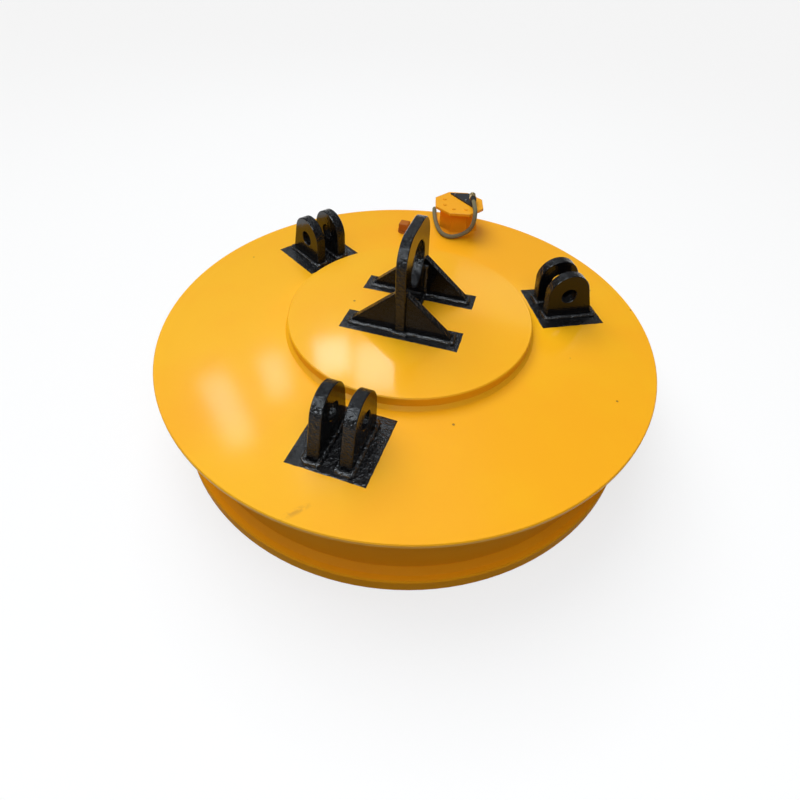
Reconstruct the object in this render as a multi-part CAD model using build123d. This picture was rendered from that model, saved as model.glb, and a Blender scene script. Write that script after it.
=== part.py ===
"""Round lifting magnet with a central eye, three double chain lugs, a terminal box and a cable.

Frame: millimetres, +Z up. The origin is the centre of the pole face, which lies in z = 0.
The central eye plate stands in the YZ plane, and the terminal box is on the +Y side.
"""
import math
import os

from build123d import *

# ---- housing ----
rim_radius = 750.0
rim_edge = 2.5
rim_overhang = 62.0            # of the top plate past the neck
neck_wall = 46.0
neck_weld_size = 16.0
pole_ring_height = 45.0        # outer pole ring, from the pole face up
pole_ring_step = 33.0          # out from the neck
pole_ring_width = 121.0        # from the bore to the outside
pole_ring_edge = 4.0
coil_space_height = 183.0      # from the pole ring to the yoke
yoke_thickness = 40.0
top_plate_thickness = 14.0     # at the rim
top_plate_rise = 5.0           # from the rim in to the boss
boss_radius = 375.0
boss_height = 38.0
boss_edge = 3.0
boss_weld_size = 10.0
neck_radius = rim_radius - rim_overhang
pole_ring_radius = neck_radius + pole_ring_step
pole_ring_bore = pole_ring_radius - pole_ring_width

# ---- inner pole ----
core_radius = 240.0
shoe_radius = 262.0
shoe_edge = 3.0
shoe_bolt_count = 6
shoe_bolt_circle = 150.0       # radius
shoe_bolt_radius = 15.0
shoe_bolt_grip = 60.0          # thread length in the core
shoe_head_radius = 22.5
shoe_head_height = 26.0
shoe_head_depth = 4.0          # head below the pole face
shoe_head_clearance = 1.5
shoe_socket_size = 22.0        # across flats
shoe_socket_depth = 14.0

# ---- coil ----
coil_inner_gap = 8.0           # insulating sleeve round the core
outer_sleeve_wall = 7.0
outer_sleeve_clearance = 8.0   # from the sleeve to the housing
bottom_insulation = 8.0
top_insulation = 9.0
coil_spacer_thickness = 6.0
guard_plate_thickness = 25.0
guard_weld_size = 8.0
coil_outer_radius = neck_radius - neck_wall - outer_sleeve_clearance - outer_sleeve_wall

# ---- central eye ----
eye_thickness = 30.0
eye_width = 248.0
eye_height = 291.0
eye_corner = 80.0              # radius of the crown's two corners
eye_hole_radius = 69.0
eye_hole_height = 170.0        # centre above the boss
eye_edge = 2.5
gusset_thickness = 25.0
gusset_inset = 9.0             # from the eye plate's edge to the gusset's face
gusset_reach = 152.0           # from the magnet's axis
gusset_height = 136.0
gusset_nose = 12.0
gusset_edge = 1.5
eye_weld_size = 12.0

# ---- chain lugs ----
lug_count = 3
lug_first_angle = -92.5        # degrees from +X
lug_circle = 510.0             # radius
lug_thickness = 32.0
lug_gap = 52.0
lug_inner_foot = 76.0          # from the lug circle towards the axis
lug_outer_foot = 84.0          # from the lug circle towards the rim
lug_crown_radius = 67.0
lug_crown_height = 90.0        # centre of the crown above the plate
lug_crown_offset = -17.0
lug_hole_radius = 24.0
lug_hole_height = 83.0
lug_hole_offset = -16.0
lug_edge = 2.0
lug_weld_size = 12.0
lug_weld_depth = 4.0           # below the plate at the lug circle, for the plate's fall

# ---- terminal box ----
box_x = 1.0
lead_inset = 13.0              # the coil's leads, in from its outside
lead_to_box = 41.0             # from the leads to the box's centre
lead_y = coil_outer_radius - lead_inset
box_y = lead_y + lead_to_box
box_radius = 77.0              # to the corners of the octagon
box_turn = -8.0                # of the octagon's corners from +X, degrees
box_wall = 8.0
box_height = 87.0              # above the rim
box_floor = 8.0                # above the rim
box_collar_depth = 14.0
box_collar_width = 24.0
box_weld_size = 7.0
box_weld_depth = 2.0           # below the rim before it is cut to the plate
gasket_thickness = 3.0
lid_radius = 101.0             # to the corners of the octagon
lid_thickness = 10.0
lid_edge = 1.5
lid_screw_circle = 62.0        # radius
lid_screw_angles = (307.0, 262.0, 217.0, 172.0)
lid_screw_radius = 4.0
lid_screw_head_radius = 7.0
lid_screw_head_height = 2.4
lid_screw_length = 20.0        # under the head
lid_screw_slot = 1.6

# ---- coil leads and terminals ----
lead_radius = 6.0
lead_spacing = 30.0
bushing_radius = 9.0
bushing_clearance = 0.5
bushing_stand = 6.0            # above the box's floor
board_length = 64.0
board_width = 24.0
board_thickness = 8.0
board_stand = 34.0             # above the box's floor
board_leg = 7.0
stud_length = 22.0             # above the board
stud_nut_size = 19.0           # across flats
stud_nut_height = 9.0

# ---- gland on the lid ----
gland_offset_x = 44.0          # from the box's centre
gland_offset_y = 36.0
gland_angle = -74.0            # direction of the outlet, degrees from +X
gland_plate_corners = ((-50.0, 62.0), (24.0, 84.0), (52.0, 58.0), (56.0, -22.0))
gland_base_height = 6.0
gland_pipe_radius = 12.0
gland_bore_radius = 8.5
gland_axis_height = 22.0       # outlet above the lid
gland_outlet = 18.0            # from the elbow's axis to the outlet's face
gland_knuckle = 0.8            # the elbow's ball and its bore stand this far outside its pipes
gland_nut_size = 26.0          # across flats
gland_nut_length = 10.0
gland_screw_radius = 2.5
gland_screw_head_radius = 4.0
gland_screw_head_height = 3.0
gland_screw_places = ((-30.0, 57.0), (22.0, 18.0))
gland_screw_length = 9.0
gland_x = box_x + gland_offset_x
gland_y = box_y + gland_offset_y

# ---- filler plug on the top plate ----
filler_x, filler_y = -185.0, 531.0
filler_head = 36.0
filler_head_height = 30.0
filler_collar_radius = 25.0
filler_collar_height = 9.0
filler_shank_radius = 13.0
filler_edge = 2.0

# ---- cable ----
cable_diameter = 16.0
cable_first_run = 30.0         # straight on from the boot
cable_last_run = 46.0          # straight into the plug
corner_share = 0.45            # of a run, taken by the arc at its end
coil_x = -226.0
coil_from_rim = 71.0           # the spare coil's centre, behind the rim
coil_turn_spacing = 16.0
coil_mean_radius = 88.0
coil_layers = 4
coil_columns = 2
bundle_corner = 7.5            # rounding of the strapped bundle's section
tie_thickness = 2.0
tie_width = 12.0
tie_angles = (20.0, 200.0)
boot_length = 22.0
boot_radius = 11.5
boot_wall = 2.0
coil_y = rim_radius + coil_from_rim

# ---- plug at the cable's end ----
plug_x, plug_z = -28.0, 35.0   # where the cable enters
plug_from_rim = 150.0
plug_y = rim_radius + plug_from_rim
plug_boot_length = 40.0
plug_boot_radius = 16.0
plug_nut_size = 40.0           # across flats
plug_nut_length = 16.0
plug_shell_radius = 26.0
plug_shell_length = 62.0
plug_collar_radius = 30.0
plug_collar_length = 6.0
plug_seat_radius = 27.0
plug_nose_length = 46.0
plug_socket_radius = 21.0
plug_socket_depth = 34.0
plug_insert_thickness = 12.0
plug_pin_count = 3
plug_pin_circle = 11.0         # radius
plug_pin_radius = 3.0
plug_pin_length = 14.0
ring_length = 32.0
ring_radius = 33.0
ring_running_gap = 0.06
ring_end_gap = 0.4
ring_edge = 2.0
ring_retainer_length = 3.0

# ---- levels that follow from the sizes above ----
yoke_bottom = pole_ring_height + coil_space_height
yoke_top = yoke_bottom + yoke_thickness
rim_top = yoke_top + top_plate_thickness
boss_bottom = rim_top + top_plate_rise
boss_top = boss_bottom + boss_height
box_floor_top = rim_top + box_floor
box_top = rim_top + box_height
lid_bottom = box_top + gasket_thickness
lid_top = lid_bottom + lid_thickness
board_bottom = box_floor_top + board_stand
board_top = board_bottom + board_thickness
coil_inner_radius = core_radius + coil_inner_gap
sink = 12.0                    # how far welded feet start below the plate before they are cut to it


def plate_height(radius):
    """Height of the top plate's upper face at a radius outside the boss."""
    slope = top_plate_rise / (rim_radius - boss_radius)
    return rim_top + slope * (rim_radius - radius)


def turned(*outline):
    """A solid of revolution about +Z from (radius, height) points."""
    points = [(radius, 0, height) for radius, height in outline]
    return revolve(make_face(Polyline(*points, close=True)), Axis.Z)


def ring(inner, outer, low, high):
    """A plain ring about +Z between two radii and two heights."""
    return turned((inner, low), (outer, low), (outer, high), (inner, high))


def rod(radius, low, high, x=0.0, y=0.0):
    """A vertical round bar."""
    return Pos(x, y, low) * extrude(Circle(radius), high - low)


def hexagon(across_flats):
    """A nut's or a hexagon socket's outline."""
    return RegularPolygon(across_flats / 2, 6, major_radius=False)


def around(count, radius, first=0.0):
    """Places spaced evenly round +Z."""
    for index in range(count):
        angle = math.radians(first + 360.0 * index / count)
        yield radius * math.cos(angle), radius * math.sin(angle)


def frustum(low_face, high_face, low, high):
    """A solid between one outline at a low level and one at a high level."""
    return loft([Pos(0, 0, low) * low_face, Pos(0, 0, high) * high_face])


def rectangle_bead(length, width, size, level, depth=0.0):
    """A weld fillet round a rectangular foot, before the foot is cut out of it."""
    low = Rectangle(length + 2 * (size + depth), width + 2 * (size + depth))
    return frustum(low, Rectangle(length, width), level - depth, level + size)


def tangent_point(point, centre, radius, side):
    """Where the line from a point touches a circle, on the side given as +1 or -1."""
    dx, dy = point[0] - centre[0], point[1] - centre[1]
    distance = math.hypot(dx, dy)
    angle = math.atan2(dy, dx) + side * math.acos(radius / distance)
    return centre[0] + radius * math.cos(angle), centre[1] + radius * math.sin(angle)


def octagon(radius):
    """The terminal box's outline, with a corner towards the -Y side."""
    return Pos(box_x, box_y) * RegularPolygon(radius, 8, rotation=box_turn)


nodes = {}

# ---- housing ----
lead_places = [(box_x - lead_spacing / 2, lead_y), (box_x + lead_spacing / 2, lead_y)]
lead_holes = [rod(bushing_radius, yoke_bottom, box_floor_top, x, y) for x, y in lead_places]

top_plate = turned((0, yoke_top), (rim_radius, yoke_top), (rim_radius, rim_top),
                   (boss_radius, boss_bottom), (0, boss_bottom))
rim_edges = top_plate.edges().filter_by(lambda e: e.length > 2 * math.pi * rim_radius - 1)
top_plate = chamfer(rim_edges, rim_edge)
for hole in lead_holes:
    top_plate -= hole
filler_shank = rod(filler_shank_radius, yoke_top, boss_bottom, filler_x, filler_y)
top_plate -= filler_shank
nodes["top_plate"] = top_plate

housing = turned((0, yoke_bottom), (neck_radius - neck_wall, yoke_bottom),
                 (neck_radius - neck_wall, pole_ring_height), (neck_radius, pole_ring_height),
                 (neck_radius, yoke_top), (0, yoke_top))
for hole in lead_holes:
    housing -= hole
nodes["housing_shell"] = housing

boss = rod(boss_radius, boss_bottom, boss_top)
nodes["boss_plate"] = chamfer(boss.edges().group_by(Axis.Z)[-1], boss_edge)
nodes["boss_weld"] = turned((boss_radius, boss_bottom), (boss_radius, boss_bottom + boss_weld_size),
                            (boss_radius + boss_weld_size, plate_height(boss_radius + boss_weld_size)))

pole_ring = ring(pole_ring_bore, pole_ring_radius, 0, pole_ring_height)
outer_edges = pole_ring.edges().filter_by(lambda e: e.length > 2 * math.pi * pole_ring_radius - 1)
nodes["outer_pole_ring"] = chamfer(outer_edges, pole_ring_edge)

nodes["neck_weld"] = turned((neck_radius, pole_ring_height), (neck_radius + neck_weld_size, pole_ring_height),
                            (neck_radius, pole_ring_height + neck_weld_size))

# ---- inner pole ----
core = rod(core_radius, pole_ring_height, yoke_bottom)
shoe = rod(shoe_radius, 0, pole_ring_height)
shoe = chamfer(shoe.edges().group_by(Axis.Z)[0], shoe_edge)
bolts = []
head_top = shoe_head_depth + shoe_head_height
for x, y in around(shoe_bolt_count, shoe_bolt_circle):
    core -= rod(shoe_bolt_radius, pole_ring_height, pole_ring_height + shoe_bolt_grip, x, y)
    shoe -= rod(shoe_head_radius + shoe_head_clearance, 0, head_top, x, y)
    shoe -= rod(shoe_bolt_radius, head_top, pole_ring_height, x, y)
    bolt = rod(shoe_head_radius, shoe_head_depth, head_top, x, y)
    bolt += rod(shoe_bolt_radius, head_top, pole_ring_height + shoe_bolt_grip, x, y)
    socket = extrude(hexagon(shoe_socket_size), shoe_socket_depth)
    bolts.append(bolt - Pos(x, y, shoe_head_depth) * socket)
nodes["inner_core"] = core
nodes["inner_pole_shoe"] = shoe
nodes["shoe_bolts"] = bolts

# ---- coil ----
coil_low = pole_ring_height + bottom_insulation
coil_high = yoke_bottom - top_insulation
winding_height = (coil_high - coil_low - coil_spacer_thickness) / 2
sleeve_outer = coil_outer_radius + outer_sleeve_wall
spacer_low = coil_low + winding_height
nodes["coil_inner_sleeve"] = ring(core_radius, coil_inner_radius, pole_ring_height, yoke_bottom)
nodes["coil_outer_sleeve"] = ring(coil_outer_radius, sleeve_outer, pole_ring_height, yoke_bottom)
nodes["coil_bottom_insulation"] = ring(coil_inner_radius, coil_outer_radius, pole_ring_height, coil_low)
nodes["coil_lower"] = ring(coil_inner_radius, coil_outer_radius, coil_low, spacer_low)
spacer_high = spacer_low + coil_spacer_thickness
nodes["coil_spacer"] = ring(coil_inner_radius, coil_outer_radius, spacer_low, spacer_high)
nodes["coil_upper"] = ring(coil_inner_radius, coil_outer_radius, spacer_high, coil_high)
top_washer = ring(coil_inner_radius, coil_outer_radius, coil_high, yoke_bottom)
for x, y in lead_places:
    top_washer -= rod(lead_radius, coil_high, yoke_bottom, x, y)
nodes["coil_top_insulation"] = top_washer

guard_low = pole_ring_height - guard_plate_thickness
nodes["guard_plate"] = ring(shoe_radius, pole_ring_bore, guard_low, pole_ring_height)
nodes["guard_welds"] = [
    turned((shoe_radius, guard_low), (shoe_radius, guard_low - guard_weld_size),
           (shoe_radius + guard_weld_size, guard_low)),
    turned((pole_ring_bore, guard_low), (pole_ring_bore, guard_low - guard_weld_size),
           (pole_ring_bore - guard_weld_size, guard_low)),
]

# ---- central eye ----
eye_side = eye_width / 2
eye_straight = eye_height - eye_corner
eye_flat = eye_side - eye_corner
corner_reach = eye_corner * math.sqrt(0.5)
eye_outline = make_face([
    Line((-eye_side, 0), (eye_side, 0)),
    Line((eye_side, 0), (eye_side, eye_straight)),
    ThreePointArc((eye_side, eye_straight), (eye_flat + corner_reach, eye_straight + corner_reach),
                  (eye_flat, eye_height)),
    Line((eye_flat, eye_height), (-eye_flat, eye_height)),
    ThreePointArc((-eye_flat, eye_height), (-eye_flat - corner_reach, eye_straight + corner_reach),
                  (-eye_side, eye_straight)),
    Line((-eye_side, eye_straight), (-eye_side, 0)),
])
eye_outline -= Pos(0, eye_hole_height) * Circle(eye_hole_radius)
eye_plane = Plane(origin=(0, 0, boss_top), x_dir=(0, 1, 0), z_dir=(1, 0, 0))
eye = extrude(eye_plane * eye_outline, eye_thickness / 2, both=True)
eye = chamfer(eye.edges().filter_by(Axis.X, reverse=True), eye_edge)
nodes["eye_plate"] = eye

gusset_y = eye_side - gusset_inset - gusset_thickness / 2
gusset_outline = make_face(Polyline((eye_thickness / 2, 0), (gusset_reach, 0), (gusset_reach, gusset_nose),
                                    (eye_thickness / 2, gusset_height), close=True))
gusset_plane = Plane(origin=(0, 0, boss_top), x_dir=(1, 0, 0), z_dir=(0, -1, 0))
gusset = extrude(gusset_plane * gusset_outline, gusset_thickness / 2, both=True)
gusset = chamfer(gusset.faces().sort_by(SortBy.AREA)[-3].edges(), gusset_edge)
eye_weld = rectangle_bead(eye_thickness, eye_width, eye_weld_size, boss_top) - eye
gusset_welds = []
foot_length = gusset_reach - eye_thickness / 2
for end, y in (("front", -gusset_y), ("rear", gusset_y)):
    for side, turn in (("right", 0), ("left", 180)):
        piece = Pos(0, y, 0) * Rot(0, 0, turn) * gusset
        nodes[f"eye_gusset_{end}_{side}"] = piece
        middle = Rot(0, 0, turn) * Pos(eye_thickness / 2 + foot_length / 2, 0, 0)
        bead = rectangle_bead(foot_length, gusset_thickness, eye_weld_size, boss_top)
        eye_weld -= piece
        gusset_welds.append(Pos(0, y, 0) * middle * bead - piece - eye)
nodes["eye_weld"] = eye_weld
nodes["gusset_welds"] = [bead - eye_weld for bead in gusset_welds]

# ---- chain lugs ----
lug_level = plate_height(lug_circle)
crown = (lug_crown_offset, lug_crown_height)
inner_foot = (-lug_inner_foot, -sink)
outer_foot = (lug_outer_foot, -sink)
inner_touch = tangent_point(inner_foot, crown, lug_crown_radius, -1)
outer_touch = tangent_point(outer_foot, crown, lug_crown_radius, 1)
crown_top = (lug_crown_offset, lug_crown_height + lug_crown_radius)
lug_outline = make_face([
    Line(inner_foot, outer_foot),
    Line(outer_foot, outer_touch),
    ThreePointArc(outer_touch, crown_top, inner_touch),
    Line(inner_touch, inner_foot),
])
lug_outline -= Pos(lug_hole_offset, lug_hole_height) * Circle(lug_hole_radius)
lug_plane = Plane(origin=(lug_circle, 0, lug_level), x_dir=(1, 0, 0), z_dir=(0, -1, 0))
lug = extrude(lug_plane * lug_outline, lug_thickness / 2, both=True)
lug = chamfer(lug.edges().filter_by(Axis.Y, reverse=True), lug_edge)
lug_step = (lug_gap + lug_thickness) / 2
lug_foot = lug_inner_foot + lug_outer_foot
lug_middle = lug_circle + (lug_outer_foot - lug_inner_foot) / 2
lug_names = ("front", "right", "left")
for index, name in enumerate(lug_names[:lug_count]):
    turn = Rot(0, 0, lug_first_angle + 360.0 * index / lug_count)
    beads = []
    for letter, step in (("a", -lug_step), ("b", lug_step)):
        piece = turn * Pos(0, step, 0) * lug - top_plate
        nodes[f"lug_{name}_{letter}"] = piece
        foot = rectangle_bead(lug_foot, lug_thickness, lug_weld_size, lug_level, lug_weld_depth)
        beads.append(turn * Pos(lug_middle, step, 0) * foot - piece - top_plate)
    nodes[f"lug_weld_{name}"] = beads

# ---- terminal box ----
box_apothem = math.cos(math.pi / 8)
inner_box_radius = box_radius - box_wall / box_apothem
box_outside = Pos(0, 0, rim_top - sink) * extrude(octagon(box_radius), box_height + sink)
box_inside = Pos(0, 0, box_floor_top) * extrude(octagon(inner_box_radius), box_height)
collar_opening = octagon(box_radius - box_collar_width / box_apothem)
box = box_outside - box_inside
collar = extrude(octagon(inner_box_radius) - collar_opening, box_collar_depth)
box += Pos(0, 0, box_top - box_collar_depth) * collar
box -= top_plate
gasket = Pos(0, 0, box_top) * extrude(octagon(box_radius) - collar_opening, gasket_thickness)
lid = Pos(0, 0, lid_bottom) * extrude(octagon(lid_radius), lid_thickness)
lid = chamfer(lid.edges().group_by(Axis.Z)[-1], lid_edge)
screws = []
for angle in lid_screw_angles:
    x = box_x + lid_screw_circle * math.cos(math.radians(angle))
    y = box_y + lid_screw_circle * math.sin(math.radians(angle))
    shank = rod(lid_screw_radius, lid_top - lid_screw_length, lid_top, x, y)
    lid -= shank
    gasket -= shank
    box -= shank
    head = rod(lid_screw_head_radius, lid_top, lid_top + lid_screw_head_height, x, y)
    slot_box = Box(2 * lid_screw_head_radius, lid_screw_slot, lid_screw_head_height)
    screws.append(head + shank - Pos(x, y, lid_top + lid_screw_head_height) * slot_box)
cable_passage = rod(gland_bore_radius, box_top - box_collar_depth, lid_top + gland_axis_height, gland_x, gland_y)
box -= cable_passage
gasket -= cable_passage
lid -= cable_passage
for hole in lead_holes:
    box -= hole
weld_low = octagon(box_radius + (box_weld_size + 2 * box_weld_depth) / box_apothem)
weld_high = rim_top + box_weld_size + box_weld_depth
box_weld = frustum(weld_low, octagon(box_radius), rim_top - box_weld_depth, weld_high)
nodes["terminal_box_weld"] = box_weld - box_outside - top_plate
nodes["terminal_box_body"] = box
nodes["lid_gasket"] = gasket
nodes["lid_screws"] = screws

# ---- coil leads and terminals ----
bushing_bore = lead_radius + bushing_clearance
leads, bushings, studs = [], [], []
board = Pos(box_x, lead_y, board_bottom) * extrude(Rectangle(board_length, board_width), board_thickness)
for side in (-1, 1):
    leg_x = box_x + side * (board_length - board_leg) / 2
    board += Pos(leg_x, lead_y, box_floor_top) * extrude(Rectangle(board_leg, board_width), board_stand)
for x, y in lead_places:
    leads.append(rod(lead_radius, coil_high, board_bottom, x, y))
    bushing = rod(bushing_radius, yoke_bottom, box_floor_top + bushing_stand, x, y)
    bushings.append(bushing - rod(bushing_bore, yoke_bottom, box_floor_top + bushing_stand, x, y))
    board -= rod(lead_radius, board_bottom, board_top, x, y)
    stud = rod(lead_radius, board_bottom, board_top + stud_length, x, y)
    stud += Pos(x, y, board_top) * extrude(hexagon(stud_nut_size), stud_nut_height)
    studs.append(stud)
nodes["coil_leads"] = leads
nodes["lead_bushings"] = bushings
nodes["terminal_board"] = board
nodes["terminal_studs"] = studs

# ---- gland on the lid ----
gland_plate = make_face(Polyline(*gland_plate_corners, close=True))
gland_base = Pos(box_x, box_y, lid_top) * extrude(gland_plate, gland_base_height)
gland_axis = Plane(origin=(gland_x, gland_y, lid_top + gland_axis_height),
                   z_dir=(math.cos(math.radians(gland_angle)), math.sin(math.radians(gland_angle)), 0))
elbow = Pos(gland_x, gland_y, lid_top + gland_base_height) * extrude(
    Circle(gland_pipe_radius), gland_axis_height - gland_base_height)
elbow += Pos(gland_x, gland_y, lid_top + gland_axis_height) * Sphere(gland_pipe_radius + gland_knuckle)
elbow += extrude(gland_axis * Circle(gland_pipe_radius), gland_outlet)
bore_out = extrude(gland_axis * Circle(gland_bore_radius), gland_outlet + gland_nut_length)
elbow -= Pos(gland_x, gland_y, lid_top + gland_axis_height) * Sphere(gland_bore_radius + gland_knuckle)
elbow -= cable_passage
elbow -= bore_out
nut_plane = gland_axis.offset(gland_outlet)
gland_nut = extrude(nut_plane * hexagon(gland_nut_size), gland_nut_length)
gland_nut -= bore_out
gland_screws = []
for x, y in [(box_x + across, box_y + back) for across, back in gland_screw_places]:
    base_top = lid_top + gland_base_height
    shank = rod(gland_screw_radius, base_top - gland_screw_length, base_top, x, y)
    gland_base -= shank
    lid -= shank
    head = rod(gland_screw_head_radius, base_top, base_top + gland_screw_head_height, x, y)
    gland_screws.append(head + shank)
nodes["terminal_box_lid"] = lid
nodes["gland_base"] = gland_base - cable_passage
nodes["gland_elbow"] = elbow
nodes["gland_nut"] = gland_nut
nodes["gland_screws"] = gland_screws

cable_radius = cable_diameter / 2
boot_plane = gland_axis.offset(gland_outlet + gland_nut_length)
boot_end_plane = boot_plane.offset(boot_length)
boot = loft([boot_plane * Circle(boot_radius), boot_end_plane * Circle(cable_radius + boot_wall)])
nodes["cable_boot"] = boot

# ---- filler plug ----
filler_level = plate_height(math.hypot(filler_x, filler_y))
filler_top = filler_level + filler_collar_height
filler_collar = rod(filler_collar_radius, filler_level - sink, filler_top, filler_x, filler_y)
filler_collar -= rod(filler_shank_radius, filler_level - sink, filler_top, filler_x, filler_y)
nodes["filler_collar"] = filler_collar - top_plate
filler = extrude(Rectangle(filler_head, filler_head), filler_head_height)
filler = Pos(filler_x, filler_y, filler_top) * chamfer(filler.edges().group_by(Axis.Z)[-1], filler_edge)
nodes["filler_plug"] = filler + rod(filler_shank_radius, yoke_top, filler_top, filler_x, filler_y)

# ---- cable: from the boot over the rim to the coil on the floor ----
boot_end = boot_end_plane.origin
first_bend = boot_end_plane.offset(cable_first_run).origin
over_plate = [                 # x, y from the rear of the rim, z from the rim's top
    (79, -167, 115),
    (83, -187, 94),
    (79, -193, 67),
    (68, -192, 43),
    (50, -192, 26),
    (30, -201, 16),
    (4, -214, 12),
    (-20, -211, 12),
    (-42, -194, 12),
    (-60, -166, 12),
    (-77, -131, 12),
    (-94, -88, 11),
    (-109, -42, 10),
    (-119, -4, 9),
    (-127, 36, -8),
    (-130, 66, -52),
    (-128, 82, -102),
]
down_to_coil = [               # x, y from the rear of the rim, z from the floor
    (-126, 80, 128),
    (-127, 56, 84),
    (-143, 23, 58),
]
off_coil = [                   # x, y from the rear of the rim, z from the floor
    (-226, 167, 10),
    (-172, 165, 10),
    (-118, 156, 20),
]
cable_route = [(boot_end.X, boot_end.Y, boot_end.Z), (first_bend.X, first_bend.Y, first_bend.Z)]
cable_route += [(x, rim_radius + y, rim_top + z) for x, y, z in over_plate]
cable_route += [(x, rim_radius + y, z) for x, y, z in down_to_coil]
tail_route = [(x, rim_radius + y, z) for x, y, z in off_coil]
tail_route += [(plug_x - cable_last_run, plug_y, plug_z), (plug_x, plug_y, plug_z)]


def cable_tube(route, name):
    """A round cable along straight runs joined by arcs as large as the runs allow."""
    points = [Vector(*point) for point in route]
    runs = [b - a for a, b in zip(points, points[1:])]
    radii = []
    for before, after in zip(runs, runs[1:]):
        turn = math.radians(before.get_angle(after))
        radii.append(corner_share * min(before.length, after.length) / math.tan(turn / 2))
    path = FilletPolyline(*points, radius=radii)
    start = Plane(origin=points[0], z_dir=runs[0])
    tube = sweep(start * Circle(cable_radius), path=path)
    expected = math.pi * cable_radius ** 2 * path.length
    print(name, "length", round(path.length), "radii", [round(radius) for radius in radii],
          "volume ratio", round(tube.volume / expected, 4))
    return tube


nodes["cable_lead"] = cable_tube(cable_route, "cable_lead")
nodes["cable_tail"] = cable_tube(tail_route, "cable_tail")

bundle_width = coil_columns * coil_turn_spacing
bundle_height = coil_layers * coil_turn_spacing
bundle_middle = tie_thickness + bundle_height / 2
bundle = Plane.XZ * Pos(coil_mean_radius, bundle_middle) * RectangleRounded(
    bundle_width, bundle_height, bundle_corner)
nodes["cable_coil"] = Pos(coil_x, coil_y, 0) * revolve(bundle, Axis.Z)
tie_width_out = bundle_width + 2 * tie_thickness
tie_height_out = bundle_height + 2 * tie_thickness
tie_outline = RectangleRounded(tie_width_out, tie_height_out, cable_radius)
tie_outline -= RectangleRounded(bundle_width, bundle_height, bundle_corner)
tie_arc = math.degrees(tie_width / coil_mean_radius)
tie = revolve(Plane.XZ * Pos(coil_mean_radius, bundle_middle) * tie_outline, Axis.Z, tie_arc)
nodes["coil_ties"] = [Pos(coil_x, coil_y, 0) * Rot(0, 0, angle) * tie for angle in tie_angles]

# ---- plug ----
plug_axis = Plane(origin=(plug_x, plug_y, plug_z), z_dir=(1, 0, 0))
shell_start = plug_boot_length + plug_nut_length
collar_start = shell_start + plug_shell_length
seat_start = collar_start + plug_collar_length
nose_end = seat_start + plug_nose_length
ring_start = seat_start + ring_end_gap
retainer_start = ring_start + ring_length + ring_end_gap


def along_plug(radius, start, end, inner=0.0):
    """A round bar or ring on the plug's axis."""
    section = Circle(radius) - Circle(inner) if inner else Circle(radius)
    return extrude(plug_axis.offset(start) * section, end - start)


nodes["plug_boot"] = loft([plug_axis * Circle(cable_radius + boot_wall),
                           plug_axis.offset(plug_boot_length) * Circle(plug_boot_radius)])
nodes["plug_nut"] = extrude(plug_axis.offset(plug_boot_length) * hexagon(plug_nut_size), plug_nut_length)
plug_body = along_plug(plug_shell_radius, shell_start, collar_start)
plug_body += along_plug(plug_collar_radius, collar_start, seat_start)
plug_body += along_plug(plug_seat_radius, seat_start, retainer_start)
plug_body += along_plug(plug_collar_radius, retainer_start, retainer_start + ring_retainer_length)
plug_body += along_plug(plug_seat_radius, retainer_start + ring_retainer_length, nose_end)
plug_body -= along_plug(plug_socket_radius, nose_end - plug_socket_depth, nose_end)
nodes["plug_body"] = plug_body
insert_start = nose_end - plug_socket_depth
insert_end = insert_start + plug_insert_thickness
insert = along_plug(plug_socket_radius, insert_start, insert_end)
pins = []
for x, y in around(plug_pin_count, plug_pin_circle, 90.0):
    place = plug_axis.offset(insert_start) * Pos(x, y)
    insert -= extrude(place * Circle(plug_pin_radius), plug_insert_thickness)
    pins.append(extrude(place * Circle(plug_pin_radius), plug_insert_thickness + plug_pin_length))
nodes["plug_insert"] = insert
nodes["plug_pins"] = pins
ring_bore = plug_seat_radius + ring_running_gap
coupling = along_plug(ring_radius, ring_start, ring_start + ring_length, ring_bore)
coupling_rims = coupling.edges().filter_by(lambda e: e.length > 2 * math.pi * ring_radius - 1)
nodes["coupling_ring"] = chamfer(coupling_rims, ring_edge)

# ---- one STEP file per node ----
os.makedirs("parts", exist_ok=True)
for node_name, shape in nodes.items():
    solids = shape if isinstance(shape, list) else [shape]
    pieces = [solid for item in solids for solid in item.solids()]
    result = pieces[0] if len(pieces) == 1 else Compound(children=pieces)
    export_step(result, f"parts/{node_name}.step")
print(len(nodes), "nodes")
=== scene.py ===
"""Round lifting magnet: enamel paint, weld beads, lugs, terminal box, cable, plug and studio.

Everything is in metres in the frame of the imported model: the origin is the centre of the pole
face, +Z is up, the eye plate stands in the YZ plane and the terminal box is on the +Y side.
"""
from __future__ import annotations

import logging
import math
from dataclasses import dataclass, field
from enum import Enum
from functools import cache
from typing import Callable, Iterable, Sequence

import bmesh
import bpy
from mathutils import Matrix, Vector, noise

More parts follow.
